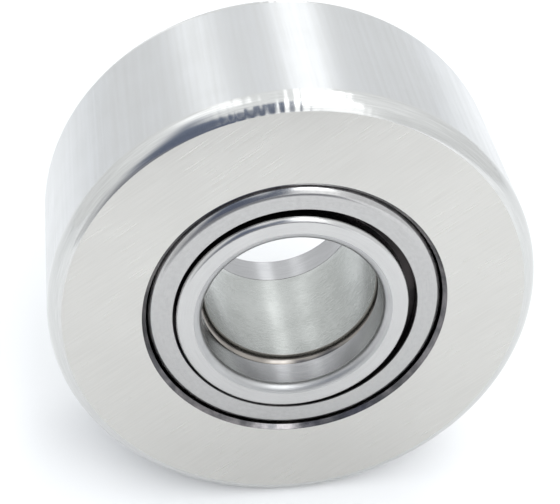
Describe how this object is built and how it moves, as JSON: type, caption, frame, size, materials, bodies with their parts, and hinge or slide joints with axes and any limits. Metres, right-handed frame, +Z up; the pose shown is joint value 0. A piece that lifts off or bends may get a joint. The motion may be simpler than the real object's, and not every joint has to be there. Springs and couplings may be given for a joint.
{
  "type": "yoke-type track roller bearing",
  "caption": "Roller bearing with a thick-walled outer ring that runs on a track; loose flange rings beside the inner ring, sheet cover rings and full rows of rollers.",
  "frame": {"origin": "centre of the bore, halfway between the two clamping faces", "axes": "+Y along the bearing axis from the front face to the rear face, +Z up with the tread standing on its rim, +X to the right seen from the front"},
  "size_m": [0.042, 0.019, 0.042],
  "materials": {
    "outer_ring_steel": "hardened bearing steel, fine ground and satin bright, edges rounded and polished",
    "angle_ring_sheet": "pressed steel sheet, smooth, semi bright, polished bend",
    "flange_ring_steel": "hardened steel, face ground fine, edges tumbled bright",
    "inner_ring_steel": "hardened steel, bore ground round the circumference, slightly darker, oiled",
    "roller_steel": "hardened steel, superfinished, near mirror"
  },
  "bodies": {
    "inner_group": {"inner_ring": "inner_ring_steel", "front_flange_ring": "flange_ring_steel", "rear_flange_ring": "flange_ring_steel"},
    "outer_group": {"outer_ring": "outer_ring_steel", "front_angle_ring": "angle_ring_sheet", "rear_angle_ring": "angle_ring_sheet"},
    "front_roller_01": {"front_roller_01": "roller_steel"},
    "front_roller_02": {"front_roller_02": "roller_steel"},
    "front_roller_03": {"front_roller_03": "roller_steel"},
    "front_roller_04": {"front_roller_04": "roller_steel"},
    "front_roller_05": {"front_roller_05": "roller_steel"},
    "front_roller_06": {"front_roller_06": "roller_steel"},
    "front_roller_07": {"front_roller_07": "roller_steel"},
    "front_roller_08": {"front_roller_08": "roller_steel"},
    "front_roller_09": {"front_roller_09": "roller_steel"},
    "front_roller_10": {"front_roller_10": "roller_steel"},
    "front_roller_11": {"front_roller_11": "roller_steel"},
    "front_roller_12": {"front_roller_12": "roller_steel"},
    "front_roller_13": {"front_roller_13": "roller_steel"},
    "front_roller_14": {"front_roller_14": "roller_steel"},
    "front_roller_15": {"front_roller_15": "roller_steel"},
    "front_roller_16": {"front_roller_16": "roller_steel"},
    "front_roller_17": {"front_roller_17": "roller_steel"},
    "front_roller_18": {"front_roller_18": "roller_steel"},
    "front_roller_19": {"front_roller_19": "roller_steel"},
    "front_roller_20": {"front_roller_20": "roller_steel"},
    "rear_roller_01": {"rear_roller_01": "roller_steel"},
    "rear_roller_02": {"rear_roller_02": "roller_steel"},
    "rear_roller_03": {"rear_roller_03": "roller_steel"},
    "rear_roller_04": {"rear_roller_04": "roller_steel"},
    "rear_roller_05": {"rear_roller_05": "roller_steel"},
    "rear_roller_06": {"rear_roller_06": "roller_steel"},
    "rear_roller_07": {"rear_roller_07": "roller_steel"},
    "rear_roller_08": {"rear_roller_08": "roller_steel"},
    "rear_roller_09": {"rear_roller_09": "roller_steel"},
    "rear_roller_10": {"rear_roller_10": "roller_steel"},
    "rear_roller_11": {"rear_roller_11": "roller_steel"},
    "rear_roller_12": {"rear_roller_12": "roller_steel"},
    "rear_roller_13": {"rear_roller_13": "roller_steel"},
    "rear_roller_14": {"rear_roller_14": "roller_steel"},
    "rear_roller_15": {"rear_roller_15": "roller_steel"},
    "rear_roller_16": {"rear_roller_16": "roller_steel"},
    "rear_roller_17": {"rear_roller_17": "roller_steel"},
    "rear_roller_18": {"rear_roller_18": "roller_steel"},
    "rear_roller_19": {"rear_roller_19": "roller_steel"},
    "rear_roller_20": {"rear_roller_20": "roller_steel"}
  },
  "joints": [
    {"name": "outer_spin", "type": "hinge", "parent": "inner_group", "child": "outer_group", "pos_m": [0, 0, 0], "axis": [0, 1, 0], "continuous": true},
    {"name": "front_row_orbit", "type": "hinge", "parent": "inner_group", "child": "front_roller_01", "pos_m": [0, 0, 0], "axis": [0, 1, 0], "continuous": true},
    {"name": "front_roller_02_spin", "type": "hinge", "parent": "front_roller_01", "child": "front_roller_02", "pos_m": [0.00348, -0.00305, 0.0107], "axis": [0, 1, 0], "continuous": true},
    {"name": "front_roller_03_spin", "type": "hinge", "parent": "front_roller_01", "child": "front_roller_03", "pos_m": [0.00661, -0.00305, 0.0091], "axis": [0, 1, 0], "continuous": true},
    {"name": "front_roller_04_spin", "type": "hinge", "parent": "front_roller_01", "child": "front_roller_04", "pos_m": [0.0091, -0.00305, 0.00661], "axis": [0, 1, 0], "continuous": true},
    {"name": "front_roller_05_spin", "type": "hinge", "parent": "front_roller_01", "child": "front_roller_05", "pos_m": [0.0107, -0.00305, 0.00348], "axis": [0, 1, 0], "continuous": true},
    {"name": "front_roller_06_spin", "type": "hinge", "parent": "front_roller_01", "child": "front_roller_06", "pos_m": [0.01125, -0.00305, 0], "axis": [0, 1, 0], "continuous": true},
    {"name": "front_roller_07_spin", "type": "hinge", "parent": "front_roller_01", "child": "front_roller_07", "pos_m": [0.0107, -0.00305, -0.00348], "axis": [0, 1, 0], "continuous": true},
    {"name": "front_roller_08_spin", "type": "hinge", "parent": "front_roller_01", "child": "front_roller_08", "pos_m": [0.0091, -0.00305, -0.00661], "axis": [0, 1, 0], "continuous": true},
    {"name": "front_roller_09_spin", "type": "hinge", "parent": "front_roller_01", "child": "front_roller_09", "pos_m": [0.00661, -0.00305, -0.0091], "axis": [0, 1, 0], "continuous": true},
    {"name": "front_roller_10_spin", "type": "hinge", "parent": "front_roller_01", "child": "front_roller_10", "pos_m": [0.00348, -0.00305, -0.0107], "axis": [0, 1, 0], "continuous": true},
    {"name": "front_roller_11_spin", "type": "hinge", "parent": "front_roller_01", "child": "front_roller_11", "pos_m": [0, -0.00305, -0.01125], "axis": [0, 1, 0], "continuous": true},
    {"name": "front_roller_12_spin", "type": "hinge", "parent": "front_roller_01", "child": "front_roller_12", "pos_m": [-0.00348, -0.00305, -0.0107], "axis": [0, 1, 0], "continuous": true},
    {"name": "front_roller_13_spin", "type": "hinge", "parent": "front_roller_01", "child": "front_roller_13", "pos_m": [-0.00661, -0.00305, -0.0091], "axis": [0, 1, 0], "continuous": true},
    {"name": "front_roller_14_spin", "type": "hinge", "parent": "front_roller_01", "child": "front_roller_14", "pos_m": [-0.0091, -0.00305, -0.00661], "axis": [0, 1, 0], "continuous": true},
    {"name": "front_roller_15_spin", "type": "hinge", "parent": "front_roller_01", "child": "front_roller_15", "pos_m": [-0.0107, -0.00305, -0.00348], "axis": [0, 1, 0], "continuous": true},
    {"name": "front_roller_16_spin", "type": "hinge", "parent": "front_roller_01", "child": "front_roller_16", "pos_m": [-0.01125, -0.00305, 0], "axis": [0, 1, 0], "continuous": true},
    {"name": "front_roller_17_spin", "type": "hinge", "parent": "front_roller_01", "child": "front_roller_17", "pos_m": [-0.0107, -0.00305, 0.00348], "axis": [0, 1, 0], "continuous": true},
    {"name": "front_roller_18_spin", "type": "hinge", "parent": "front_roller_01", "child": "front_roller_18", "pos_m": [-0.0091, -0.00305, 0.00661], "axis": [0, 1, 0], "continuous": true},
    {"name": "front_roller_19_spin", "type": "hinge", "parent": "front_roller_01", "child": "front_roller_19", "pos_m": [-0.00661, -0.00305, 0.0091], "axis": [0, 1, 0], "continuous": true},
    {"name": "front_roller_20_spin", "type": "hinge", "parent": "front_roller_01", "child": "front_roller_20", "pos_m": [-0.00348, -0.00305, 0.0107], "axis": [0, 1, 0], "continuous": true},
    {"name": "rear_row_orbit", "type": "hinge", "parent": "inner_group", "child": "rear_roller_01", "pos_m": [0, 0, 0], "axis": [0, 1, 0], "continuous": true},
    {"name": "rear_roller_02_spin", "type": "hinge", "parent": "rear_roller_01", "child": "rear_roller_02", "pos_m": [0.00511, 0.00305, 0.01002], "axis": [0, 1, 0], "continuous": true},
    {"name": "rear_roller_03_spin", "type": "hinge", "parent": "rear_roller_01", "child": "rear_roller_03", "pos_m": [0.00795, 0.00305, 0.00795], "axis": [0, 1, 0], "continuous": true},
    {"name": "rear_roller_04_spin", "type": "hinge", "parent": "rear_roller_01", "child": "rear_roller_04", "pos_m": [0.01002, 0.00305, 0.00511], "axis": [0, 1, 0], "continuous": true},
    {"name": "rear_roller_05_spin", "type": "hinge", "parent": "rear_roller_01", "child": "rear_roller_05", "pos_m": [0.01111, 0.00305, 0.00176], "axis": [0, 1, 0], "continuous": true},
    {"name": "rear_roller_06_spin", "type": "hinge", "parent": "rear_roller_01", "child": "rear_roller_06", "pos_m": [0.01111, 0.00305, -0.00176], "axis": [0, 1, 0], "continuous": true},
    {"name": "rear_roller_07_spin", "type": "hinge", "parent": "rear_roller_01", "child": "rear_roller_07", "pos_m": [0.01002, 0.00305, -0.00511], "axis": [0, 1, 0], "continuous": true},
    {"name": "rear_roller_08_spin", "type": "hinge", "parent": "rear_roller_01", "child": "rear_roller_08", "pos_m": [0.00795, 0.00305, -0.00795], "axis": [0, 1, 0], "continuous": true},
    {"name": "rear_roller_09_spin", "type": "hinge", "parent": "rear_roller_01", "child": "rear_roller_09", "pos_m": [0.00511, 0.00305, -0.01002], "axis": [0, 1, 0], "continuous": true},
    {"name": "rear_roller_10_spin", "type": "hinge", "parent": "rear_roller_01", "child": "rear_roller_10", "pos_m": [0.00176, 0.00305, -0.01111], "axis": [0, 1, 0], "continuous": true},
    {"name": "rear_roller_11_spin", "type": "hinge", "parent": "rear_roller_01", "child": "rear_roller_11", "pos_m": [-0.00176, 0.00305, -0.01111], "axis": [0, 1, 0], "continuous": true},
    {"name": "rear_roller_12_spin", "type": "hinge", "parent": "rear_roller_01", "child": "rear_roller_12", "pos_m": [-0.00511, 0.00305, -0.01002], "axis": [0, 1, 0], "continuous": true},
    {"name": "rear_roller_13_spin", "type": "hinge", "parent": "rear_roller_01", "child": "rear_roller_13", "pos_m": [-0.00795, 0.00305, -0.00795], "axis": [0, 1, 0], "continuous": true},
    {"name": "rear_roller_14_spin", "type": "hinge", "parent": "rear_roller_01", "child": "rear_roller_14", "pos_m": [-0.01002, 0.00305, -0.00511], "axis": [0, 1, 0], "continuous": true},
    {"name": "rear_roller_15_spin", "type": "hinge", "parent": "rear_roller_01", "child": "rear_roller_15", "pos_m": [-0.01111, 0.00305, -0.00176], "axis": [0, 1, 0], "continuous": true},
    {"name": "rear_roller_16_spin", "type": "hinge", "parent": "rear_roller_01", "child": "rear_roller_16", "pos_m": [-0.01111, 0.00305, 0.00176], "axis": [0, 1, 0], "continuous": true},
    {"name": "rear_roller_17_spin", "type": "hinge", "parent": "rear_roller_01", "child": "rear_roller_17", "pos_m": [-0.01002, 0.00305, 0.00511], "axis": [0, 1, 0], "continuous": true},
    {"name": "rear_roller_18_spin", "type": "hinge", "parent": "rear_roller_01", "child": "rear_roller_18", "pos_m": [-0.00795, 0.00305, 0.00795], "axis": [0, 1, 0], "continuous": true},
    {"name": "rear_roller_19_spin", "type": "hinge", "parent": "rear_roller_01", "child": "rear_roller_19", "pos_m": [-0.00511, 0.00305, 0.01002], "axis": [0, 1, 0], "continuous": true},
    {"name": "rear_roller_20_spin", "type": "hinge", "parent": "rear_roller_01", "child": "rear_roller_20", "pos_m": [-0.00176, 0.00305, 0.01111], "axis": [0, 1, 0], "continuous": true}
  ],
  "couplings": [
    {"joint": "front_row_orbit", "follows": "outer_spin", "ratio": 0.57778},
    {"joint": "front_roller_02_spin", "follows": "outer_spin", "ratio": 3.1728},
    {"joint": "front_roller_03_spin", "follows": "outer_spin", "ratio": 3.1728},
    {"joint": "front_roller_04_spin", "follows": "outer_spin", "ratio": 3.1728},
    {"joint": "front_roller_05_spin", "follows": "outer_spin", "ratio": 3.1728},
    {"joint": "front_roller_06_spin", "follows": "outer_spin", "ratio": 3.1728},
    {"joint": "front_roller_07_spin", "follows": "outer_spin", "ratio": 3.1728},
    {"joint": "front_roller_08_spin", "follows": "outer_spin", "ratio": 3.1728},
    {"joint": "front_roller_09_spin", "follows": "outer_spin", "ratio": 3.1728},
    {"joint": "front_roller_10_spin", "follows": "outer_spin", "ratio": 3.1728},
    {"joint": "front_roller_11_spin", "follows": "outer_spin", "ratio": 3.1728},
    {"joint": "front_roller_12_spin", "follows": "outer_spin", "ratio": 3.1728},
    {"joint": "front_roller_13_spin", "follows": "outer_spin", "ratio": 3.1728},
    {"joint": "front_roller_14_spin", "follows": "outer_spin", "ratio": 3.1728},
    {"joint": "front_roller_15_spin", "follows": "outer_spin", "ratio": 3.1728},
    {"joint": "front_roller_16_spin", "follows": "outer_spin", "ratio": 3.1728},
    {"joint": "front_roller_17_spin", "follows": "outer_spin", "ratio": 3.1728},
    {"joint": "front_roller_18_spin", "follows": "outer_spin", "ratio": 3.1728},
    {"joint": "front_roller_19_spin", "follows": "outer_spin", "ratio": 3.1728},
    {"joint": "front_roller_20_spin", "follows": "outer_spin", "ratio": 3.1728},
    {"joint": "rear_row_orbit", "follows": "outer_spin", "ratio": 0.57778},
    {"joint": "rear_roller_02_spin", "follows": "outer_spin", "ratio": 3.1728},
    {"joint": "rear_roller_03_spin", "follows": "outer_spin", "ratio": 3.1728},
    {"joint": "rear_roller_04_spin", "follows": "outer_spin", "ratio": 3.1728},
    {"joint": "rear_roller_05_spin", "follows": "outer_spin", "ratio": 3.1728},
    {"joint": "rear_roller_06_spin", "follows": "outer_spin", "ratio": 3.1728},
    {"joint": "rear_roller_07_spin", "follows": "outer_spin", "ratio": 3.1728},
    {"joint": "rear_roller_08_spin", "follows": "outer_spin", "ratio": 3.1728},
    {"joint": "rear_roller_09_spin", "follows": "outer_spin", "ratio": 3.1728},
    {"joint": "rear_roller_10_spin", "follows": "outer_spin", "ratio": 3.1728},
    {"joint": "rear_roller_11_spin", "follows": "outer_spin", "ratio": 3.1728},
    {"joint": "rear_roller_12_spin", "follows": "outer_spin", "ratio": 3.1728},
    {"joint": "rear_roller_13_spin", "follows": "outer_spin", "ratio": 3.1728},
    {"joint": "rear_roller_14_spin", "follows": "outer_spin", "ratio": 3.1728},
    {"joint": "rear_roller_15_spin", "follows": "outer_spin", "ratio": 3.1728},
    {"joint": "rear_roller_16_spin", "follows": "outer_spin", "ratio": 3.1728},
    {"joint": "rear_roller_17_spin", "follows": "outer_spin", "ratio": 3.1728},
    {"joint": "rear_roller_18_spin", "follows": "outer_spin", "ratio": 3.1728},
    {"joint": "rear_roller_19_spin", "follows": "outer_spin", "ratio": 3.1728},
    {"joint": "rear_roller_20_spin", "follows": "outer_spin", "ratio": 3.1728}
  ]
}
